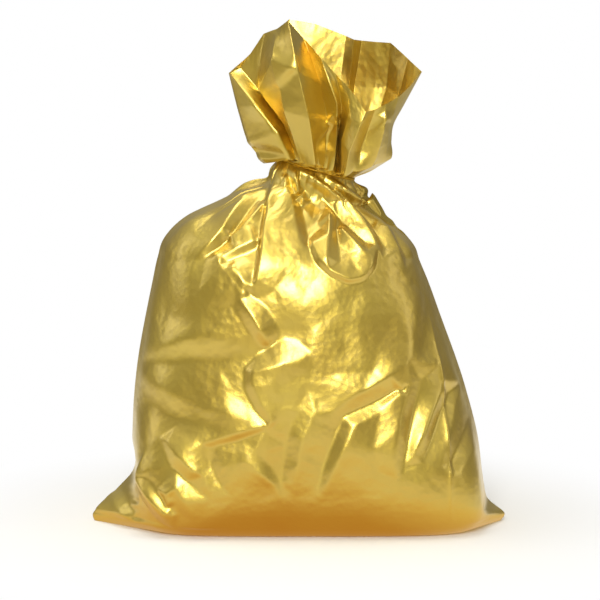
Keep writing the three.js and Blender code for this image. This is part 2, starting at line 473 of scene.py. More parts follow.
@dataclass
class FilmSolver:
    """Lets thin film find its own wrinkles, as a grid of points held by distances.

    Each pass pulls neighbouring points to the distance that the flat film sets between them, keeps the
    film from folding tighter than it can, and keeps every point on a short leash round its place on the
    shaped form.
    """

    points: np.ndarray  # rows, columns, 3
    form: np.ndarray  # the shaped form that the leash is tied to
    slack_across: np.ndarray  # each row's spare film across, as a share of the form's own length
    slack_up: np.ndarray  # and up
    sink: np.ndarray  # how far a row may go in from the form
    rise: np.ndarray  # and how far out
    slide: np.ndarray  # and how far along it
    held_rows: int = 1  # at the bottom, where the film is welded
    bending: float = 0.35

    def pairs(self) -> list[tuple[np.ndarray, np.ndarray, np.ndarray, bool]]:
        """Lists sets of point pairs in which no point is in two pairs.

        Returns:
            For each set: the start points, the end points, their rest distances, and whether the pair
            stands for bending.
        """
        rows, columns = self.form.shape[:2]
        index = np.arange(rows * columns).reshape(rows, columns)
        form = self.form.reshape(-1, 3)
        sets = []
        for up, across in ((0, 1), (1, 0), (1, 1), (1, -1), (0, 2), (2, 0)):
            start = index[: rows - up]
            end = np.roll(index, -across, axis=1)[up:]
            shares = [self.slack_across] * (across != 0) + [self.slack_up] * (up != 0)
            slack = sum(shares)[: rows - up] / len(shares)
            rest = np.linalg.norm(form[end] - form[start], axis=2) * (1 + slack[:, None])
            reach = max(up, abs(across))
            along = np.arange(columns)[None, :] if across else np.arange(rows - up)[:, None]
            for colour in (0, 1):
                chosen = np.broadcast_to((along % (2 * reach)) // reach == colour, start.shape)
                sets.append((start[chosen], end[chosen], rest[chosen], reach == 2))
        return sets

    def settle(self, passes: int) -> np.ndarray:
        """Runs the solver.

        Args:
            passes: How many times every distance is corrected.

        Returns:
            The settled points.
        """
        shape = self.form.shape
        normal = grid_normals(self.form)
        flat = self.points.reshape(-1, 3).copy()
        free = np.repeat(np.arange(shape[0]) >= self.held_rows, shape[1]).astype(float)
        sets = self.pairs()
        sink, rise, slide = (reach[:, None, None] for reach in (self.sink, self.rise, self.slide))
        tiny = 1e-6
        for _ in range(passes):
            for start, end, rest, bends in sets:
                gap = flat[end] - flat[start]
                length = np.maximum(np.linalg.norm(gap, axis=1), tiny)
                short = rest - length
                if bends:
                    short = np.maximum(short, 0) * self.bending
                weight = np.maximum(free[start] + free[end], tiny)
                push = gap * (short / length / weight)[:, None]
                flat[start] -= push * free[start][:, None]
                flat[end] += push * free[end][:, None]
            grid = flat.reshape(shape)
            off = grid - self.form
            out = np.sum(off * normal, axis=2, keepdims=True)
            side = off - out * normal
            out = np.clip(out, -sink, rise)
            side *= np.minimum(1, slide / np.maximum(np.linalg.norm(side, axis=2, keepdims=True), tiny))
            grid[:] = self.form + out * normal + side
            grid[..., 2] = np.maximum(grid[..., 2], 0)
        return flat.reshape(shape)


# ---------------------------------------------------------------- the bag's form


@dataclass(frozen=True)
class Level:
    """One level of the sack.

    z is its height in line with the neck, left and right are its reach, depth is half of its depth, and
    slope is how steeply it falls to the right. The tips are how far the unfilled corners reach.
    """

    z: float
    left: float
    right: float
    depth: float
    slope: float = 0.0
    left_tip: float = 0.0
    right_tip: float = 0.0


@dataclass(frozen=True)
class Rib:
    """One fold line of the frill, as four points (x, y, z) from where it spills over the tie to the rim."""

    lip: tuple[float, float, float]
    low: tuple[float, float, float]
    middle: tuple[float, float, float]
    rim: tuple[float, float, float]


@dataclass(frozen=True)
class Crease:
    """A fold pressed into a panel, along a line of (x, z) places as seen from that panel's side.

    height is how far it stands out, or sinks if negative. left and right are how far its flanks reach to
    either side of the line, walking along it.
    """

    line: tuple[tuple[float, float], ...]
    height: float
    left: float
    right: float


class Stage(Enum):
    """The film is dressed in stages, each on a grid twice as fine as the one before."""

    BIG_FOLDS = 0
    FOLDS = 1
    PLEATS = 2
    CREASES = 3
    FACETS = 4


LEVELS = (
    Level(0, 122, 146, 60, left_tip=174, right_tip=172),
    Level(6, 131, 153, 69, left_tip=175, right_tip=175),
    Level(19, 136, 156, 75, left_tip=163, right_tip=161),
    Level(32, 138, 155, 78, left_tip=151, right_tip=157.5),
    Level(41, 138.5, 154, 79, left_tip=143, right_tip=156),
    Level(74, 139, 149, 80),
    Level(105, 137, 141, 79),
    Level(139, 133, 130, 76),
    Level(172, 127, 118, 72),
    Level(205, 120, 106, 66),
    Level(224, 115.5, 98.5, 60.5, 0.01),
    Level(236, 110.7, 94.5, 54, 0.03),
    Level(254, 88, 79.5, 43, 0.07),
    Level(262, 66, 72, 37, 0.12),
    Level(275, 37.5, 54, 28, 0.18),
    Level(279, 25, 51, 26, 0.24),
    Level(289, 20.5, 49, 23.5, 0.27),
)

RIBS = (
    # The front, from the left weld to the right one: the left lapel and the hollow behind its ridge.
    Rib((-28, -3, 305), (-42.5, -4, 322), (-51, -4, 351), (-58, -2, 379)),
    Rib((-8, -24, 309), (-17, -29, 331), (-36, -24, 354), (-57, -7, 379)),
    Rib((-3, -19, 309), (-11, -15, 336), (-27, -10, 358), (-48, -6, 383.5)),
    Rib((0, -24, 308), (-13, -25, 339), (-33, -16, 366), (-29, -14, 412)),
    # The pale facet, and the ridge that climbs to the front peak.
    Rib((3, -27, 306), (-12, -40, 350), (-22, -40, 392), (-18, -27, 416.5)),
    Rib((13, -36, 306), (8, -51, 345), (-1, -52, 383), (-9, -42, 423.5)),
    # The wide facet that falls away from the ridge, and the one that rises to the rim.
    Rib((20, -25, 303), (24, -30, 336), (18, -32, 371), (4, -26, 409)),
    Rib((28, -29, 300), (31, -36, 331), (31, -47, 357), (18, -43, 393.5)),
    Rib((31, -19, 297), (31, -22, 326), (35, -38, 353), (30, -41, 380.5)),
    # The right lapel, which hangs out over the tie, and the fold down its middle.
    Rib((35, -36, 300), (35, -42, 326), (41, -48, 348), (42, -47, 368)),
    Rib((37.5, -44, 298), (41, -51, 318), (48, -55, 335), (54.5, -54, 350.5)),
    Rib((47, -38, 301), (50, -36, 317), (56, -37, 334), (62, -44, 352)),
    Rib((59.5, -33, 304.5), (66, -39, 321), (70, -42, 338), (71, -41, 356)),
    Rib((69, -21, 307), (73, -26, 323), (75, -29, 339), (82, -29, 361)),
    Rib((76, -12, 309), (76.5, -14, 323), (78, -15, 338), (91, -14, 369)),
    Rib((68, 3, 304), (73, 4, 333), (84, 3, 346), (102, 0, 380)),
    # The back, from the right weld to the left one.
    Rib((62, 14, 303), (70, 16, 325), (84, 20, 358), (91, 20, 390)),
    Rib((52, 21, 303), (63, 32, 328), (74, 35, 366), (77, 32, 402.5)),
    Rib((43, 20, 304), (53, 33, 326), (64, 37, 364), (66, 36, 403)),
    Rib((35, 24, 306), (42, 38, 330), (47, 42, 366), (53, 41, 404)),
    Rib((29, 19, 308), (36, 29, 332), (42, 33, 364), (46, 29, 405.5)),
    Rib((22, 24, 310), (28, 31, 334), (35, 34, 372), (40, 36, 408)),
    Rib((5, 23, 314), (6, 29, 338), (9, 33, 380), (13, 36, 418.5)),
    Rib((-8, 20, 316), (-12, 27, 336), (-14, 32, 380), (-8, 38, 422)),
    Rib((-13, 15, 316), (-20, 21, 334), (-25, 25, 374), (-19, 26, 413)),
    Rib((-19, 12, 313), (-28, 24, 332), (-36, 29, 368), (-31, 24, 403)),
    Rib((-25, 6, 310), (-37, 13, 327), (-45, 14, 358), (-45, 12, 390)),
)

CRISP_FOLDS = (
    # The leaf-shaped pleats that fan out over the left shoulder.
    ((-36, 284, 2), (-48, 271, 6), (-59, 254, 8), (-70, 241, 7), (-84, 228, 1)),
    ((-32, 279, -1), (-44, 264, -3), (-53, 251, -3), (-64, 239, -2), (-76, 229, 0)),
    ((-28, 272, 3), (-38, 262, 4), (-48, 252, 3), (-59, 246, 2)),
    ((-33, 245, 4), (-50, 238, 5), (-66, 230, 4)),
    ((-34, 239, -1), (-49, 231, -1), (-61, 225, 0)),
    ((-70, 262, 0), (-84, 248, 4), (-98, 232, 1)),
    ((-66, 231, 6), (-57, 219, 5), (-42, 203, 4)),
    ((-52, 223.5, 6), (-44, 212, 6)),
    ((-98, 225.5, 0), (-84, 204, 0), (-62, 186, 0)),
    # The long pleat that lies over them, and the dent under its left edge.
    ((-19, 296, 3), (-25, 275, 7), (-29, 250.5, 8), (-31, 231.5, 8), (-34, 215, 6), (-40, 202, 1)),
    ((-21, 295, -1), (-27, 275, -1), (-31, 250.5, -1), (-33, 231.5, -1), (-36, 215, 0)),
    ((-9, 291, 6), (-14, 265.5, 6), (-12, 238, 5), (-6, 220, 2)),
    ((0, 293, -3), (3, 269.5, -4), (6, 254, -4), (9, 242.5, -2)),
    ((-6, 283.5, 5), (-2, 257.5, 4), (2, 241.5, 3)),
    # The pouch that hangs over the swell.
    ((10, 241.5, 3), (16, 228, 5), (27, 219, 5), (40, 213, 5), (52, 215, 5), (60, 223.5, 5), (62, 233.5, 4)),
    ((8.5, 240, 0), (14, 227, 0), (26, 217, 0), (40, 211, 0), (53, 213, 0), (62, 222.5, 0), (64, 232.5, 0)),
    ((25, 265.5, 3), (24, 248.5, 7), (22, 230, 8)),
    ((31, 263, -3), (32, 246, -2), (33, 228, 2)),
    ((35, 252, 4), (46, 240, 8), (57, 230, 6)),
    ((41, 234, 2), (45, 221, 3)),
    ((8, 266.5, -3), (18, 255, -3)),
    # The pleats that sweep down from the neck over the right shoulder.
    ((-2, 302, 4), (7, 297, 6), (25, 284, 8), (38, 272, 8), (50, 260, 7), (60, 246, 5), (68, 228, 1)),
    ((1, 296, -3), (20, 280, -4), (30, 267, -4), (43, 253, -3), (54, 243, -2)),
    ((18, 293, -2), (34, 280, -3), (48, 268, -3), (60, 256, -3), (70, 238, -2)),
    (
        (10, 304, 3), (18, 299, 5), (30, 289, 7), (43, 279, 8),
        (58, 266, 8), (70, 252, 7), (81, 234, 4), (88, 216, 0),
    ),
    ((34, 291, -2), (49, 279, -3), (66, 264, -3), (79, 248, -3), (89, 228, -2)),
    ((28, 295, 2), (41, 288, 3), (64, 271, 4), (84, 250, 4), (95, 226, 1)),
    # The thin pleat that stands up in front of the neck, and the hollow beside it.
    ((-6, 304, 4), (-1, 290, 7), (3, 276, 3)),
    ((-10, 301, -1), (-6, 287, -2), (-3, 276, 0)),
    ((2, 291, -4), (6, 281, -7), (14, 274, -7), (22, 270, -4)),
    # The puffs down the middle left: each comes out towards its lower edge and drops back there.
    ((-40, 204, 0), (-27, 193, -1), (-17, 179, -2), (-16, 168, -2)),
    ((-47, 198, 3), (-37, 185, 6), (-31, 173, 6), (-24, 163, 2)),
    ((-51, 192, 0), (-43, 177, -1), (-34, 165, -1), (-27, 158, -2)),
    ((-33, 155, -1), (-21, 164, -3), (-8, 169, -2), (1, 165, -2)),
    ((-38, 141, 6), (-27, 143, 8), (-14, 147, 7), (-3, 149, 4), (4, 140, 1)),
    ((-38, 141, 6), (-38, 130, 6), (-31, 114, 4), (-21, 101, 2)),
    ((-44, 143, 0), (-44, 128, -1), (-36, 111, -1), (-26, 98, -1)),
    ((-22, 128, 6), (-14, 114, 2), (-17, 100, -1)),
    ((9, 164, 0), (12, 146, 0), (8, 128, 0), (0, 108, 0)),
    # The long ridge below them, and the bright slopes under it.
    ((-79, 81, 3), (-50, 89.5, 4), (-21, 99, 1.5)),
    ((-76, 77, 0), (-50, 84, 0), (-23, 94, 0)),
    ((-79, 81, 3), (-73, 66, -2), (-67, 52, -2)),
    ((-106, 80, 4), (-98, 69, 6), (-86, 58, 5), (-70, 51, -1)),
    ((-112, 76, -1), (-106, 62, -2), (-92, 50, -2)),
    ((-62, 61, 1.5), (-50, 66, 3), (-42, 67, 5), (-30, 57, 5), (-18, 44, 1)),
    ((-60, 38, 0), (-46, 38, 0.5), (-32, 34, 0)),
    ((-34, 78, 3), (-24, 64, -1), (-13, 46, -1)),
    # The left corner, where the filling stops.
    ((-140, 44, 0), (-133, 30, -4), (-120, 14, -4), (-104, 4, 0)),
    ((-134, 48, 5), (-122, 33, 6), (-109, 19, 5)),
    ((-124, 48, -1), (-112, 34, -2), (-104, 24, -1)),
    ((-108, 38, 4), (-106, 19, 4)),
    ((-103, 36, 0), (-98, 22, -1)),
    ((-100, 44, 3), (-84, 13, 3)),
    ((-156, 22, 3), (-146, 10, 3)),
    ((-150, 28, -2), (-138, 12, -3)),
    # The fan of folds across the lower right.
    ((27, 108, 1), (46, 121, 4), (68, 133, 5), (88, 146, 4), (93, 164, 2)),
    ((32, 102, -1), (50, 110, -3), (70, 118, -4), (86, 126, -2)),
    ((66, 108, 1), (89, 131, 3), (81, 96, 5), (78, 70, 4), (80, 52, 0)),
    ((100, 130, -2), (93, 100, -4), (88, 74, -3), (83, 50, 0)),
    ((45, 97, 5), (34, 73, 5), (17, 33, 0)),
    ((32, 94, -3), (22, 68, -4), (13, 34, 0)),
    ((13, 108, 3), (3, 85, 4), (-2, 60, 3), (-4, 38, 0)),
    ((-5, 100, -1), (-11, 78, -3), (-13, 56, -2)),
    ((60, 78, 3), (66, 58, 0)),
    ((115, 140, 3), (115, 119, 4), (108, 104, 5), (100, 85, 5), (92, 68, 1)),
    ((123, 116, -2), (115, 98, -3), (107, 78, -3), (102, 64, 0)),
    ((136, 126, 3), (128, 108, 2), (117, 60, 2), (108, 50, 0)),
    ((142, 68, 3), (130, 54, 3), (119, 43, 0)),
    ((146, 100, 0), (134, 78, -2), (126, 64, -2)),
    # Where the film lies smooth between them.
    ((-62, 172, 0), (-60, 150, 0), (-62, 120, 0), (-98, 96, 0), (-126, 72, 0), (-122, 56, 0)),
    ((-20, 205, 0), (0, 196, 0), (16, 190, 0), (24, 160, 0), (26, 134, 0)),
    ((-4, 30, 0), (-40, 32, 0), (-72, 34, 0)),
    ((28, 202, 0), (74, 208, 0), (90, 204, 0), (100, 210, 0)),
    ((66, 160, 0), (60, 140, 0)),
    ((56, 40, 0), (80, 34, 0), (104, 36, 0)),
)

SOFT_FOLDS = (
    # The wide swell under the pouch, which takes the light.
    ((-30, 204, 3), (-12, 210, 4), (12, 206, 4), (26, 198, 3)),
    ((-8, 184, 3), (6, 182, 3), (20, 176, 2)),
    # Long folds across the left.
    ((-133, 147, 2), (-92, 164, 6), (-63, 170, 5), (-38, 168, 3)),
    ((-131, 138, -1), (-92, 150, -6), (-58, 150, -6), (-40, 152, -4)),
    ((-127, 131, 3), (-108, 121, 6), (-77, 108, 5), (-40, 103, 3)),
    ((-124, 112, 0), (-100, 98, -3), (-70, 92, -3)),
    ((-112, 206, 0), (-82, 207, 5), (-88, 190, 3), (-76, 178, 2)),
    ((-108, 222, 1), (-96, 236, 3)),
    ((-118, 182, -1), (-100, 180, -3)),
    ((-126, 90, 2), (-118, 60, 3)),
    # The folds that lead down to the lower right.
    ((24, 110, 2), (46, 123, 4), (90, 146, 4)),
    ((88, 130, 3), (79, 94, 4), (77, 67, 3), (81, 36, 0)),
    ((107, 114, 3), (100, 83, 4), (92, 66, 1)),
    ((13, 108, 3), (2, 83, 3), (-3, 58, 2)),
    ((94, 212, 3), (95, 190, 6), (90, 161, 6), (90, 142, 4)),
    ((104, 205, -2), (106, 186, -3), (102, 156, -3)),
    ((74, 204, 1), (66, 180, 2), (48, 154, 2)),
    ((130, 100, 3), (124, 60, 2)),
    # Flat film along the base and down both sides.
    ((-120, 8, 0), (120, 8, 0)),
    ((-139, 60, 0), (-138, 120, 0), (-124, 190, 0), (-116, 230, 0), (-90, 262, 0)),
    ((152, 40, 0), (146, 90, 0), (132, 135, 0), (116, 180, 0), (102, 222, 0)),
    ((-60, 240, 0), (0, 246, 0), (60, 240, 0)),
)

FRILL_FOLDS = (
    # The small pleats where the left lapel spills over the tie.
    ((-10, 315, 1), (-24, 320, 4), (-38, 324, 2)),
    ((-12, 312, 0), (-26, 315, -3), (-38, 319, -1)),
    ((-13, 310, 1), (-24, 310, 4), (-33, 312, 2)),
    ((-16, 322, 0), (-27, 330, 2), (-34, 340, 0)),
    # The dent in the pale facet, and the sliver that stands in the hollow beside the ridge.
    ((-19, 372, 0), (-5, 386, 3)),
    ((-17, 368, -2), (-5, 381, -1)),
    ((17, 328, 0), (23, 338, 4), (29, 347, 1)),
    ((21, 327, -2), (29, 341, -2)),
    # Faint breaks in the wide facets.
    ((8, 402, 0), (20, 376, 1.5), (29, 352, 0)),
    ((-44, 372, 0), (-38, 352, 1.5), (-24, 336, 0)),
    ((48, 342, 1), (60, 348, 0)),
    ((60, 330, 0), (72, 344, 1.5)),
    # Where the film lies flat between them.
    ((-54, 372, 0), (-45, 342, 0), (-40, 326, 0)),
    ((-30, 400, 0), (-30, 360, 0), (-14, 338, 0)),
    ((-9, 420, 0), (-2, 396, 0), (3, 370, 0), (10, 335, 0), (12, 312, 0)),
    ((34, 372, 0), (36, 340, 0), (34, 308, 0)),
    ((84, 352, 0), (74, 330, 0), (62, 306, 0)),
    ((-34, 300, 0), (-8, 298, 0), (20, 290, 0)),
)

FIELD_EDGE = ((-240, -30, 0), (-240, 340, 0), (240, 340, 0), (240, -30, 0), (-240, -30, 0))

FRONT_CREASES = (
    # The crease down the right where the film was packed flat.
    Crease(((108, 180), (118, 117), (123, 65), (126, 16)), 1.6, 2.0, 2.0),
)

BACK_CREASES = (
    Crease(((-30, 288), (-58, 262), (-80, 228)), 5.0, 4, 14),
    Crease(((-14, 292), (-34, 250), (-40, 205)), 6.0, 3, 18),
    Crease(((6, 296), (-2, 255), (-10, 218)), 5.0, 10, 3),
    Crease(((24, 296), (34, 252), (30, 206)), 6.0, 4, 16),
    Crease(((42, 290), (62, 258), (74, 222)), 5.0, 12, 4),
    Crease(((56, 282), (84, 244)), 4.0, 6, 6),
    Crease(((-122, 190), (-70, 168), (-20, 178)), -4.5, 14, 16),
    Crease(((-20, 178), (30, 150), (96, 160)), 4.5, 12, 14),
    Crease(((-110, 120), (-60, 96), (-40, 60)), 5.0, 14, 5),
    Crease(((-30, 140), (0, 100), (10, 52)), 5.5, 5, 15),
    Crease(((60, 130), (44, 88), (58, 40)), 5.0, 14, 5),
    Crease(((118, 130), (96, 84), (104, 38)), 4.5, 6, 12),
    Crease(((-96, 66), (-70, 26)), 4.0, 8, 4),
    Crease(((20, 48), (44, 22)), 3.5, 7, 4),
)


@dataclass
class BagForm:
    """The shape that the film is dressed over: rows of points from the bottom weld to the rim."""

    stage: Stage
    coarse_columns: int = 48
    coarse_spacing: float = 14.0  # between rows, near enough, on the coarsest grid
    base_rows: tuple[float, ...] = (0.0, 0.35, 0.7)  # shares of the lowest level's depth, on the floor
    ring_steps: int = 721  # along half of a ring, before its columns are spaced out
    squareness: float = 2.2
    base_squareness: float = 4.6
    base_height: float = 110.0
    weld: float = 2.2  # how far the side welds stand out
    neck_reach: tuple[float, float] = (30.8, 18.4)  # the film's half sizes inside the tie
    stiffness: float = 0.75  # of the frill, from 0 for round curves to 1 for flat facets
    stiff_from: float = 4.0  # how far above the tie the film starts to stand stiff
    stiff_at: float = 16.0  # and where it is fully stiff

    @property
    def columns(self) -> int:
        """How many points go round each row at this stage."""
        return self.coarse_columns * 2**self.stage.value

    def ring(self, level: Level, depth_share: float = 1.0) -> np.ndarray:
        """Draws one ring of the sack, from the left weld round the front to the right weld and back.

        Args:
            level: The level to draw.
            depth_share: Scales its depth, for the rings on the floor.

        Returns:
            One point for each column.
        """
        angle = np.linspace(0, math.pi, self.ring_steps)
        low = 1 - float(smoothstep(0, self.base_height, np.array(level.z)))
        power = 2 / (self.squareness + (self.base_squareness - self.squareness) * low)
        c, s = np.cos(angle), np.sin(angle)
        reach = np.where(c > 0, level.left, level.right)
        x = -np.sign(c) * np.abs(c) ** power * reach
        y = s**power * level.depth
        # At each end the film runs straight from the weld to where it touches the curve.
        for tip, order in (
            (-max(level.left_tip, level.left + self.weld), 1),
            (max(level.right_tip, level.right + self.weld), -1),
        ):
            slope = y[::order][1:-1] / np.abs(x[::order][1:-1] - tip)
            touch = 1 + int(np.argmax(slope[: len(slope) // 2]))
            span = np.linspace(0, 1, touch + 1)
            ends = x[::order][touch], y[::order][touch]
            x[::order][: touch + 1] = tip + span * (ends[0] - tip)
            y[::order][: touch + 1] = span * ends[1]
        half = evenly_along(np.stack([x, y * depth_share], axis=1), self.columns // 2 + 1)
        front = np.stack([half[:, 0], -half[:, 1]], axis=1)
        loop = np.concatenate([front, half[-2:0:-1]])
        height = level.z - (loop[:, 0] - NECK[0]) * level.slope
        return np.column_stack([loop, height])

    def neck_ring(self) -> np.ndarray:
        """Draws the ring inside the tie.

        Returns:
            One point for each column.
        """
        turn = 2 * math.pi * (np.arange(self.columns) / self.columns)
        reach, depth = self.neck_reach
        x, y = -reach * np.cos(turn), -depth * np.sin(turn)
        return np.column_stack([NECK[0] + x, y, NECK[2] - x * math.tan(math.radians(NECK_TILT))])

    def frill_rings(self) -> list[np.ndarray]:
        """Draws the rings of the frill through its ribs.

        Returns:
            The rings from where the film spills over the tie to the rim.
        """
        ribs = (*RIBS, RIBS[0])
        rim = np.array([rib.rim for rib in ribs], float)
        steps = np.linalg.norm(np.diff(rim, axis=0), axis=1)
        right = next(i for i, rib in enumerate(RIBS) if rib.rim[1] > 0) - 1
        front, back = steps[:right], steps[right:]
        # The front and the back each get half of the columns.
        front_share = 0.5 * np.cumsum(front) / front.sum()
        back_share = 0.5 + 0.5 * np.cumsum(back) / back.sum()
        share = np.concatenate([[0], front_share, back_share])
        at = np.arange(self.columns) / self.columns
        lines = np.array([(rib.lip, rib.low, rib.middle, rib.rim) for rib in ribs], float)
        return [read_along(lines[:, k], share, at) for k in range(lines.shape[1])]

    def rows(self) -> tuple[np.ndarray, np.ndarray]:
        """Lofts the whole film.

        Returns:
            The rows of points, and each row's place from 0 at the bottom weld through 1 at the tie to 2 at
            the rim.
        """
        keys = [self.ring(LEVELS[0], share) for share in self.base_rows]
        for row in keys:
            row[:, 2] = 0
        keys += [self.ring(level) for level in LEVELS]
        tie = len(keys)
        keys = np.array([*keys, self.neck_ring(), *self.frill_rings()])
        steps = np.linalg.norm(np.diff(keys, axis=0), axis=2).mean(axis=1)
        length = np.concatenate([[0], np.cumsum(steps)])
        to_tie, to_rim = length[tie], length[-1]
        finer = 2**self.stage.value
        below = int(round(to_tie / self.coarse_spacing)) * finer
        above = int(round((to_rim - to_tie) / self.coarse_spacing)) * finer
        at = np.concatenate([np.linspace(0, to_tie, below + 1), np.linspace(to_tie, to_rim, above + 1)[1:]])
        grid = curve_through(length, keys, at)
        # The frill keeps stiff, straight facets where the curve would round its corners.
        i = np.clip(np.searchsorted(length, at, side="right") - 1, 0, len(length) - 2)
        up = ((at - length[i]) / (length[i + 1] - length[i]))[:, None, None]
        stiff = self.stiffness * smoothstep(to_tie + self.stiff_from, to_tie + self.stiff_at, at)
        grid += stiff[:, None, None] * (keys[i] + up * (keys[i + 1] - keys[i]) - grid)
        grid[..., 2] = np.maximum(grid[..., 2], 0)
        return grid, np.where(at <= to_tie, at / to_tie, 1 + (at - to_tie) / (to_rim - to_tie))


def folded_heights(x: np.ndarray, z: np.ndarray, folds: tuple) -> np.ndarray:
    """Reads how far a folded panel stands out, from flat facets spanned between its fold lines.

    Args:
        x: How far to the right each place is.
        z: And how high.
        folds: Fold lines, each a run of (x, z, height) points.

    Returns:
        The height at each place.
    """
    marks = []
    for line in (*folds, FIELD_EDGE):
        line = np.array(line, float)
        length = np.linalg.norm(np.diff(line[:, :2], axis=0), axis=1).sum()
        marks.append(evenly_along(line, max(2, int(length / FOLD_STEP) + 1)))
    marks = np.concatenate(marks)
    merge = 0.05  # marks closer than this are one
    corners, _, triangles, sources, _, _ = delaunay_2d_cdt([Vector(m[:2]) for m in marks], [], [], 0, merge)
    corners = np.array([tuple(c) for c in corners])
    out = np.array([marks[from_[0], 2] for from_ in sources])
    heights = np.zeros(x.shape)
    for triangle in triangles:
        (ax, az), (bx, bz), (cx, cz) = corners[list(triangle)]
        area = (bx - ax) * (cz - az) - (cx - ax) * (bz - az)
        if abs(area) < NEAR_ZERO:
            continue
        near = (x >= min(ax, bx, cx)) & (x <= max(ax, bx, cx))
        near &= (z >= min(az, bz, cz)) & (z <= max(az, bz, cz))
        px, pz = x[near], z[near]
        u = ((px - ax) * (cz - az) - (cx - ax) * (pz - az)) / area
        v = ((bx - ax) * (pz - az) - (px - ax) * (bz - az)) / area
        inside = (u >= -NEAR_ZERO) & (v >= -NEAR_ZERO) & (u + v <= 1 + NEAR_ZERO)
        found = heights[near]
        a, b, c = out[list(triangle)]
        found[inside] = (a + u * (b - a) + v * (c - a))[inside]
        heights[near] = found
    return heights


def ridge_heights(x: np.ndarray, z: np.ndarray, creases: tuple[Crease, ...]) -> np.ndarray:
    """Adds up how far single creases stand out, each dying away to either side of its line.

    Args:
        x: How far to the right each place is.
        z: And how high.
        creases: The creases of this panel.

    Returns:
        The height at each place.
    """
    end_run, end_height = 0.18, 0.25  # the share of its length that a crease tapers over, and what is left
    heights = np.zeros(x.shape)
    for crease in creases:
        line = np.array(crease.line, float)
        best = np.full(x.shape, np.inf)
        mine = np.zeros(x.shape)
        steps = np.linalg.norm(np.diff(line, axis=0), axis=1)
        done = 0.0
        for (ax, az), (bx, bz), step in zip(line[:-1], line[1:], steps):
            dx, dz = (bx - ax) / step, (bz - az) / step
            along = np.clip((x - ax) * dx + (z - az) * dz, 0, step)
            ox, oz = x - ax - along * dx, z - az - along * dz
            away = np.hypot(ox, oz)
            flank = np.where(dx * oz - dz * ox > 0, crease.left, crease.right)
            run = (done + along) / steps.sum()
            taper = np.clip(np.minimum(run, 1 - run) / end_run, 0, 1) * (1 - end_height) + end_height
            mine = np.where(away < best, crease.height * taper * np.exp(-away / flank), mine)
            best = np.minimum(best, away)
            done += step
        heights += mine
    return heights


@dataclass
class PressedFolds:
    """The listed folds, which are pressed into the form."""

    crisp_depth: float = 0.78  # of the heights written for the crisp folds
    soft_depth: float = 0.5  # and for the soft ones
    first_columns: int = 192  # round the coarsest grid that takes the folds
    soft_passes: int = 12  # how often the soft folds are smoothed on that grid
    base: tuple[float, float] = (0.15, 0.165)  # the places up the film where the sack's folds fade in
    neck: tuple[float, float] = (0.965, 0.995)  # and out again under the tie
    frill: tuple[float, float] = (1.04, 1.12)  # and where the frill's folds fade in
    facing: tuple[float, float] = (0.12, 0.5)  # how squarely film has to face for a fold to have room

    def heights(self, grid: np.ndarray, place: np.ndarray) -> np.ndarray:
        """Adds up the folds.

        Args:
            grid: The form's rows of points.
            place: Each row's place up the film, 1 at the tie.

        Returns:
            How far each point moves out along its normal.
        """
        half = grid.shape[1] // 2
        finer = grid.shape[1] // self.first_columns
        shift = np.zeros(grid.shape[:2])
        front, back = slice(0, half + 1), slice(half, grid.shape[1])
        x, z = grid[:, front, 0], grid[:, front, 2]
        shift[:, front] += self.crisp_depth * softened(folded_heights(x, z, CRISP_FOLDS), finer)
        soft = softened(folded_heights(x, z, SOFT_FOLDS), self.soft_passes * finer)
        shift[:, front] += self.soft_depth * soft
        shift[:, front] += ridge_heights(x, z, FRONT_CREASES)
        shift[:, back] += ridge_heights(grid[:, back, 0], grid[:, back, 2], BACK_CREASES)
        fade = (1 - smoothstep(*self.neck, place)) * smoothstep(*self.base, place)
        shift *= fade[:, None]
        frill = softened(folded_heights(x, z, FRILL_FOLDS), finer)
        shift[:, front] += frill * smoothstep(*self.frill, place)[:, None]
        return shift * smoothstep(*self.facing, np.abs(grid_normals(grid)[..., 1]))


@dataclass
class NeckPleats:
    """The flutes that the tie gathers the film into, deepest at the tie."""

    count: int = 20
    seed: int = 5
    height: float = 4.2
    widths: tuple[float, float] = (0.6, 1.4)  # the least and the most, before they are fitted round the neck
    depths: tuple[float, float] = (0.6, 1.3)  # of the height
    starts: tuple[float, float] = (0.74, 0.9)  # the places up the film where pleats start
    frill_fade: tuple[float, float] = (1.05, 1.28)  # and where they fade out above the tie
    roundness: float = 0.8
    front_share: float = 0.15  # of the height below the tie, where the long folds of the front take over
    back_share: float = 0.5  # and at the back
    frill_share: float = 0.8  # and above the tie
    squeeze: float = 0.8  # how much of a pleat is flattened where the tie lies on it
    squeeze_reach: float = 4.5  # how far to either side of the tie

    def heights(self, place: np.ndarray, columns: int) -> np.ndarray:
        """Flutes the film.

        Args:
            place: Each row's place up the film, 1 at the tie.
            columns: How many points go round a row.

        Returns:
            How far each point moves out along its normal.
        """
        rng = np.random.default_rng(self.seed)
        edges = np.cumsum(rng.uniform(*self.widths, self.count))
        edges = np.concatenate([[0], edges / edges[-1]])
        depth = rng.uniform(*self.depths, self.count)
        start = rng.uniform(*self.starts, self.count)
        at = np.arange(columns) / columns
        i = np.clip(np.searchsorted(edges, at, side="right") - 1, 0, self.count - 1)
        share = (at - edges[i]) / (edges[i + 1] - edges[i])
        lobe = np.sin(math.pi * share) ** self.roundness - 0.5
        row = place[:, None]
        below = smoothstep(0, 1, (row - start[i][None, :]) / (1 - start[i][None, :]))
        above = 1 - smoothstep(*self.frill_fade, row)
        away = np.where(row < 1, (1 - row) * FLAT_SACK, (row - 1) * FLAT_FRILL)
        pressed = 1 - self.squeeze * np.exp(-((away / self.squeeze_reach) ** 2))
        sack_share = np.where(at < 0.5, self.front_share, self.back_share)[None, :]
        own = np.where(row < 1, sack_share, self.frill_share)
        return self.height * own * lobe[None, :] * depth[i][None, :] * below * above * pressed


# ---------------------------------------------------------------- the pieces


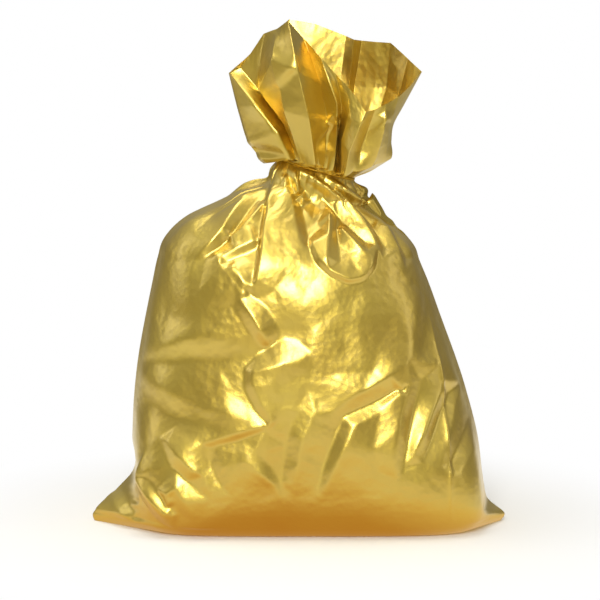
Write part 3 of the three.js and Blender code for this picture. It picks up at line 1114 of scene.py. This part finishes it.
@dataclass
class FilmBag:
    """The bag's film: the sack below the tie and the frill above it."""

    seed: int = 11
    sink: float = 9.0  # how far loose film may go in from its form
    rise: float = 4.0  # and how far out
    slide: float = 5.0  # and how far along it
    marks: tuple[float, ...] = (0, 0.16, 0.2, 0.45, 0.75, 0.9, 1.0, 1.1, 1.4, 2.0)  # places up the film
    spare_across: tuple[float, ...] = (0, 0, 0.002, 0.003, 0.006, 0.012, 0.02, 0.02, 0.005, 0.004)
    spare_up: tuple[float, ...] = (0, 0, 0.002, 0.003, 0.004, 0.004, 0.0, 0.0, 0.002, 0.003)
    looseness: tuple[float, ...] = (0, 0, 0.35, 0.35, 0.5, 0.3, 0.12, 0.2, 0.3, 0.4)
    tie_row: int = field(default=0, init=False)

    def shape(self) -> np.ndarray:
        """Shapes the film, and remembers which row the tie is on.

        Returns:
            The film's rows of points.
        """
        rng = np.random.default_rng(self.seed)
        moved = np.zeros(3)
        for stage in Stage:
            form, place = BagForm(stage).rows()
            normal = grid_normals(form)
            if stage.value >= Stage.PLEATS.value:
                form = form + normal * NeckPleats().heights(place, form.shape[1])[..., None]
                form = form + normal * PressedFolds().heights(form, place)[..., None]
            if moved.ndim > 1:
                moved = doubled(moved)
            if stage is Stage.FACETS:
                break
            moved = self.relax(form + moved, form, place, rng, stage) - form
        self.tie_row = int(np.argmin(np.abs(place - 1)))
        return form + moved

    def relax(
        self,
        points: np.ndarray,
        form: np.ndarray,
        place: np.ndarray,
        rng: np.random.Generator,
        stage: Stage,
    ) -> np.ndarray:
        """Lets the film wrinkle at one fineness of its grid.

        Args:
            points: Where the film's points start.
            form: The shaped form that they stay near.
            place: Each row's place up the film, 1 at the tie.
            rng: Draws the small unevenness that the wrinkles grow from.
            stage: Which fineness this is.

        Returns:
            Where the points settle.
        """
        # How many passes, the unevenness, and the share of the leash.
        passes, unevenness, reach = {
            Stage.BIG_FOLDS: (160, 1.0, 1.0),
            Stage.FOLDS: (80, 0.3, 0.8),
            Stage.PLEATS: (40, 0.1, 0.6),
            Stage.CREASES: (12, 0.03, 0.6),
        }[stage]
        loose = np.interp(place, self.marks, self.looseness)
        jog = rng.normal(0, unevenness, points.shape[:2])[..., None]
        solver = FilmSolver(
            points + grid_normals(form) * jog * loose[:, None, None],
            form,
            np.interp(place, self.marks, self.spare_across),
            np.interp(place, self.marks, self.spare_up),
            sink=self.sink * reach * loose + 0.01,
            rise=self.rise * reach * loose + 0.01,
            slide=self.slide * reach * loose + 0.01,
        )
        return solver.settle(passes)

    @staticmethod
    def weld(sack: bpy.types.Object) -> None:
        """Joins the front and back of the bottom row, where the film is welded.

        Args:
            sack: The sack's piece, which is changed.
        """
        on_floor, on_line, merge = 1.0 * MM, 0.5 * MM, 0.4 * MM
        shell = bmesh.new()
        shell.from_mesh(sack.data)
        low = [v for v in shell.verts if v.co.z < on_floor and abs(v.co.y) < on_line]
        bmesh.ops.remove_doubles(shell, verts=low, dist=merge)
        shell.to_mesh(sack.data)
        shell.free()

    def build(self, film: bpy.types.Material) -> list[bpy.types.Object]:
        """Makes the sack and the frill.

        Args:
            film: What they are made of.

        Returns:
            The two pieces.
        """
        points = self.shape()
        sack_points, frill_points = points[: self.tie_row + 1], points[self.tie_row :]
        columns = points.shape[1]
        sack = mesh_object("sack_film", sack_points, tube_faces(len(sack_points), columns), film)
        self.weld(sack)
        frill = mesh_object("frill_film", frill_points, tube_faces(len(frill_points), columns), film)
        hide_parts("front_panel", "back_panel")
        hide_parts("frill_front", "frill_back")
        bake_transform(sack)
        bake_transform(frill)
        return [sack, frill]


@dataclass
class NeckBundle:
    """The film inside the tie: a pleated bundle that closes the sack below and the frill's throat above."""

    reach: float = 27.5
    depth: float = 15.5
    pleats: int = 17
    pleat_depth: float = 0.11  # as a share of the size
    pleat_cut: float = 1.6  # how much deeper the grooves are than the crests are high
    unevenness: float = 0.8  # of the pleats' widths
    twist: float = 0.06  # how far the pleats turn for each millimetre up
    rows: int = 49
    columns: int = 204
    profile: tuple[tuple[float, float], ...] = (
        (-15, 0.02),
        (-15.5, 0.3),
        (-12, 0.62),
        (-5, 0.95),
        (0, 1.0),
        (5, 0.97),
        (10, 0.72),
        (12.5, 0.4),
        (11, 0.02),
    )  # rise from the tie, and share of the size there

    def build(self, film: bpy.types.Material) -> bpy.types.Object:
        """Makes the bundle, twisted a little as the tie was wound.

        Args:
            film: What it is made of.

        Returns:
            The bundle.
        """
        knots = np.array(self.profile, float)
        at = np.linspace(0, len(knots) - 1, self.rows)
        rise, share = (a[:, None] for a in curve_through(np.arange(len(knots)), knots, at).T)
        turn = (np.arange(self.columns) / self.columns * 2 * math.pi)[None, :]
        phase = self.pleats * turn + self.twist * rise + self.unevenness * np.sin(3 * turn)
        flute = 1 - np.abs(np.sin(phase / 2)) * self.pleat_cut
        fold = 1 + self.pleat_depth * flute * np.clip(share, 0, 1) ** 0.5
        x = -self.reach * share * fold * np.cos(turn)
        y = -self.depth * share * fold * np.sin(turn)
        points = at_neck(x, y, rise)
        made = mesh_object("neck_bundle", points, tube_faces(len(points), self.columns), film)
        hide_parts("neck_gather")
        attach(made, "neck")
        return made


@dataclass
class TwistTie:
    """The tie: a narrow foil ribbon with a wire down its middle, wound round the neck and twisted behind."""

    loop: tuple[float, float] = (32.6, 20.0)  # half sizes, to the middle of the wire
    gap: float = 7.0  # degrees left open behind, where the ends turn out
    stem_length: float = 11.0
    stem_turns: float = 1.5
    stem_offset: float = 1.25
    stem_gap: float = 2.2  # between the loop and the stem
    tail_spread: float = 21.0
    tail_reach: float = 12.0
    tail_rise: float = 7.0
    loop_steps: int = 129
    stem_steps: int = 61
    tail_steps: int = 24
    strand_steps: int = 150
    face_turn: float = 0.6  # how far the ribbon turns over, in radians for each millimetre of the stem
    face_lean: float = 0.4  # how far its face leans for each millimetre that the tail rises
    face_settles: tuple[float, float] = (1.2, 1.9)  # where it stops turning, in lengths of the stem
    width: float = 2.2
    thickness: float = 0.7
    wire: float = 0.55

    def loop_path(self) -> tuple[np.ndarray, np.ndarray]:
        """Runs round the neck.

        Returns:
            The path, and the way that the ribbon's face looks along it.
        """
        gap = math.radians(self.gap)
        turn = math.pi / 2 + gap + np.linspace(0, 1, self.loop_steps) * 2 * (math.pi - gap)
        level = np.zeros(len(turn))
        path = np.column_stack([self.loop[0] * np.cos(turn), self.loop[1] * np.sin(turn), level])
        face = np.column_stack([np.cos(turn) / self.loop[0], np.sin(turn) / self.loop[1], level])
        return path, face

    def strand_path(self, side: int) -> tuple[np.ndarray, np.ndarray]:
        """Runs through the twisted stem and out along one tail.

        Args:
            side: -1 for the left strand, 1 for the right one.

        Returns:
            The path, and the way that the ribbon's face looks along it.
        """
        share = np.linspace(0, 1, self.stem_steps)
        angle = (math.pi if side < 0 else 0) + (share - 1) * self.stem_turns * 2 * math.pi
        start = self.loop[1] + self.stem_gap
        along_stem = start + share * self.stem_length
        stem = np.column_stack(
            [self.stem_offset * np.cos(angle), along_stem, self.stem_offset * np.sin(angle)]
        )
        out = np.linspace(0.08, 1, self.tail_steps)
        tail = np.column_stack(
            [
                side * (self.stem_offset + self.tail_spread * out),
                start + self.stem_length + self.tail_reach * np.sqrt(out) * 0.95,
                self.tail_rise * out**2,
            ]
        )
        knots = np.concatenate([stem, tail])
        length = np.concatenate([[0], np.cumsum(np.linalg.norm(np.diff(knots, axis=0), axis=1))])
        at = np.linspace(0, length[-1], self.strand_steps)
        path = read_along(knots, length, at)
        face = np.column_stack([-path[:, 2] * self.face_lean, 0 * at, np.ones(len(at))])
        turn = at * self.face_turn + side
        twist = np.column_stack([np.cos(turn), 0 * at, np.sin(turn)])
        low, high = (self.stem_length * share for share in self.face_settles)
        on_stem = 1 - smoothstep(low, high, at)[:, None]
        return path, face * (1 - on_stem) + twist * on_stem

    def section(self) -> list[tuple[float, float]]:
        """Draws the ribbon's section, which swells over the wire.

        Returns:
            The section's corners, each as how far across and how far out it is.
        """
        half, flat, wire = self.width / 2, self.thickness / 2, self.wire
        quarter = [(half, flat * 0.5), (half * 0.45, flat * 0.7), (0.3, wire)]
        upper = quarter + [(-u, v) for u, v in reversed(quarter)]
        return [(half, -flat * 0.5)] + upper + [(u, -v) for u, v in reversed(upper[1:])]

    def ribbon(
        self, name: str, path: np.ndarray, face: np.ndarray, foil: bpy.types.Material
    ) -> bpy.types.Object:
        """Sweeps the ribbon's section along a path and closes its ends.

        Args:
            name: The piece's name.
            path: The middle of the wire.
            face: The way that the ribbon's face looks along it.
            foil: What it is made of.

        Returns:
            The piece.
        """
        along = np.gradient(path, axis=0)
        along /= np.linalg.norm(along, axis=1, keepdims=True)
        face = face - along * np.sum(face * along, axis=1, keepdims=True)
        face /= np.linalg.norm(face, axis=1, keepdims=True)
        across = np.cross(along, face)
        section = self.section()
        points = np.stack([path + across * u + face * v for u, v in section], axis=1)
        points = at_neck(points[..., 0], points[..., 1], points[..., 2])
        sides = len(section)
        last = (len(points) - 1) * sides
        faces = tube_faces(len(points), sides)
        faces += [tuple(reversed(range(sides))), tuple(range(last, last + sides))]
        return mesh_object(name, points, faces, foil)

    def build(self, foil: bpy.types.Material) -> list[bpy.types.Object]:
        """Makes the loop and the two strands.

        Args:
            foil: What they are made of.

        Returns:
            The three pieces.
        """
        made = []
        for name, node, body, (path, face) in (
            ("tie_ribbon_loop", "tie_loop", "neck", self.loop_path()),
            ("tie_ribbon_left", "tie_strand_left", "tie_stem", self.strand_path(-1)),
            ("tie_ribbon_right", "tie_strand_right", "tie_stem", self.strand_path(1)),
        ):
            piece = self.ribbon(name, path, face, foil)
            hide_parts(node)
            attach(piece, body)
            made.append(piece)
        return made


@dataclass
class TissueWad:
    """One wad of crumpled tissue, dented all over and drawn in from the film round it."""

    node: str
    seed: int
    draw_in: float = 0.9
    dents: int = 46
    deepest: float = 0.86  # of the wad's own reach, where a dent cuts it
    ripple: float = 0.006
    ripple_rates: tuple[float, float] = (21, 17)

    def build(self, paper: bpy.types.Material) -> bpy.types.Object:
        """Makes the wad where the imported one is.

        Args:
            paper: What it is made of.

        Returns:
            The wad.
        """
        low, high = (np.array(corner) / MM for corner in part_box(self.node))
        centre, half = (low + high) / 2, (high - low) / 2
        ball = bmesh.new()
        bmesh.ops.create_icosphere(ball, subdivisions=5, radius=1)
        faces = [tuple(v.index for v in face.verts) for face in ball.faces]
        way = np.array([tuple(v.co) for v in ball.verts])
        ball.free()
        rng = np.random.default_rng(self.seed)
        poles = rng.normal(size=(self.dents, 3))
        poles /= np.linalg.norm(poles, axis=1, keepdims=True)
        # Each dent is a flat cut across the ball, so that sharp paper edges stand between the dents.
        depth = rng.uniform(self.deepest, 1.0, self.dents)
        reach = np.min(depth[None, :] / np.maximum(way @ poles.T, 0.05), axis=1)
        reach = np.minimum(reach, 1.0) * self.draw_in
        one, other = self.ripple_rates
        ripple = np.sin(way @ poles[0] * one) * np.sin(way @ poles[1] * other)
        points = centre + way * half * (reach + self.ripple * ripple)[:, None]
        made = mesh_object(self.node.replace("tissue", "paper"), points, faces, paper)
        made.data.polygons.foreach_set("use_smooth", [False] * len(faces))
        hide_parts(self.node)
        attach(made, "sack")
        return made


# ---------------------------------------------------------------- the studio


@dataclass(frozen=True)
class Lamp:
    """One soft white light: its place and the size of its elliptical face in metres, and its watts."""

    name: str
    place: tuple[float, float, float]
    size: tuple[float, float]
    power: float

    def hang(self, aim: tuple[float, float, float]) -> None:
        """Hangs the light, turned to a point.

        Args:
            aim: The point that it faces.
        """
        lamp = bpy.data.lights.new(self.name, "AREA")
        lamp.shape = "ELLIPSE"
        lamp.size, lamp.size_y = self.size
        lamp.energy = self.power
        made = bpy.data.objects.new(self.name, lamp)
        made.location = self.place
        made.rotation_euler = (Vector(aim) - Vector(self.place)).to_track_quat("-Z", "Y").to_euler()
        bpy.context.scene.collection.objects.link(made)


@dataclass
class Studio:
    """A pale floor, soft lights and the camera."""

    floor_radius: float = 40.0
    floor_sides: int = 96
    floor_drop: float = 0.0004  # below the bag's base, so that the two never share a plane
    bag_radius: float = 0.16
    glow_radius: float = 0.36
    painted_table_shade_radius: float = 1.5
    # The colours of the glow that the film sees in the floor, by distance from the bag: warm, with painted
    # shade that darkens it next to the bag.
    painted_table_shade: tuple[tuple[float, str], ...] = (
        (0.07, "d2a266"),
        (0.12, "f6deb4"),
        (0.19, "fffdf6"),
        (0.42, "f4f0e2"),
        (0.7, "c0b99c"),
        (1.0, "9e977c"),
    )
    sky: tuple[tuple[float, str], ...] = (
        (0.0, "9a947c"),
        (0.12, "a09b86"),
        (0.4, "ccc9bc"),
        (1.0, "f4f4f0"),
    )
    sky_strength: float = 0.6
    lamps: tuple[Lamp, ...] = (
        Lamp("key", (-0.14, -1.8, 1.15), (0.6, 1.1), 26.5),
        Lamp("fill", (1.7, -0.7, 0.8), (0.5, 1.3), 2),
        Lamp("rim", (-1.7, -0.1, 0.9), (0.5, 1.3), 2.5),
        Lamp("top", (-0.2, -0.1, 1.9), (1.2, 1.2), 12),
    )
    lamp_aim: tuple[float, float, float] = (0, 0, 0.2)
    aim: tuple[float, float, float] = (0.001, 0.0, 0.189)
    distance: float = 2.2
    elevation: float = 8.0
    lens: float = 157.0

    def paper(self) -> bpy.types.Material:
        """Builds the floor: white seamless paper, which glows away from the bag so that no edge of it shows.

        Returns:
            The node material.
        """
        made, tree, place = new_material("studio_paper")
        sheet = add_node(tree, "BsdfPrincipled", Base_Color=linear("f7f6f4"), Roughness=0.9)
        glow = add_node(tree, "Emission", Color=linear("ffffff"), Strength=1.0)
        away = add_node(tree, "VectorMath", {0: place}, operation="LENGTH").outputs["Value"]
        share = add_node(
            tree,
            "MapRange",
            {"Value": away},
            interpolation_type="SMOOTHSTEP",
            From_Min=self.bag_radius,
            From_Max=self.glow_radius,
        )
        seen = add_node(tree, "MixShader", {0: share.outputs[0], 1: sheet.outputs[0], 2: glow.outputs[0]})
        # Only the film's reflections see this glow: a warm table with painted shade that darkens it under
        # the bag, so that folds which face down turn amber.
        reach = add_node(tree, "MapRange", {"Value": away}, From_Max=self.painted_table_shade_radius)
        shade = add_node(tree, "ValToRGB", {0: reach.outputs["Result"]})
        paint_ramp(shade.color_ramp, self.painted_table_shade)
        painted_table_shade = add_node(tree, "Emission", {"Color": shade.outputs["Color"]}, Strength=1.0)
        path = add_node(tree, "LightPath").outputs["Is Camera Ray"]
        both = add_node(tree, "MixShader", {0: path, 1: painted_table_shade.outputs[0], 2: seen.outputs[0]})
        add_node(tree, "OutputMaterial", {"Surface": both.outputs[0]})
        return made

    def floor(self) -> None:
        """Lays a wide pale floor."""
        mesh = bpy.data.meshes.new("studio_floor")
        turn = [2 * math.pi * i / self.floor_sides for i in range(self.floor_sides)]
        reach = self.floor_radius
        ring = [(reach * math.cos(a), reach * math.sin(a), -self.floor_drop) for a in turn]
        mesh.from_pydata(ring, [], [tuple(range(self.floor_sides))])
        mesh.materials.append(self.paper())
        floor = bpy.data.objects.new("studio_floor", mesh)
        bpy.context.scene.collection.objects.link(floor)

    def world(self) -> None:
        """Sets a pale surround, dimmer to the film's reflections than to the eye."""
        world = bpy.data.worlds.new("studio")
        world.use_nodes = True
        tree = world.node_tree
        tree.nodes.clear()
        path = add_node(tree, "LightPath").outputs["Is Camera Ray"]
        seen = add_node(tree, "Background", Color=linear("ffffff"), Strength=1.0)
        place = add_node(tree, "TexCoord").outputs["Generated"]
        height = add_node(tree, "SeparateXYZ", {0: place})
        shade = add_node(tree, "ValToRGB", {0: height.outputs["Z"]})
        paint_ramp(shade.color_ramp, self.sky)
        around = add_node(tree, "Background", {"Color": shade.outputs["Color"]}, Strength=self.sky_strength)
        both = add_node(tree, "MixShader", {0: path, 1: around.outputs[0], 2: seen.outputs[0]})
        add_node(tree, "OutputWorld", {"Surface": both.outputs[0]})
        bpy.context.scene.world = world

    def camera(self) -> None:
        """Places the camera in front of the bag, a little above it."""
        lens = bpy.data.cameras.new("camera")
        lens.lens = self.lens
        made = bpy.data.objects.new("camera", lens)
        tilt = math.radians(self.elevation)
        aim = Vector(self.aim)
        made.location = aim + Vector((0, -math.cos(tilt), math.sin(tilt))) * self.distance
        made.rotation_euler = (aim - made.location).to_track_quat("-Z", "Y").to_euler()
        bpy.context.scene.collection.objects.link(made)
        bpy.context.scene.camera = made

    def build(self) -> None:
        """Sets the whole studio."""
        bpy.context.scene.view_settings.view_transform = "Standard"
        self.floor()
        self.world()
        for lamp in self.lamps:
            lamp.hang(self.lamp_aim)
        self.camera()


def main() -> None:
    """Builds the bag and its studio."""
    logging.basicConfig(level=logging.INFO, format="%(message)s")
    film = GoldFilm().material()
    Studio().build()
    pieces = FilmBag().build(film)
    pieces.append(NeckBundle().build(film))
    pieces += TwistTie().build(TieFoil().material())
    paper = TissuePaper().material()
    pieces += [TissueWad(f"tissue_wad_{i}", seed=20 + i).build(paper) for i in range(1, 10)]
    for piece in pieces:
        log.info("%s: %d faces", piece.name, len(piece.data.polygons))


if __name__ == "__main__":
    main()
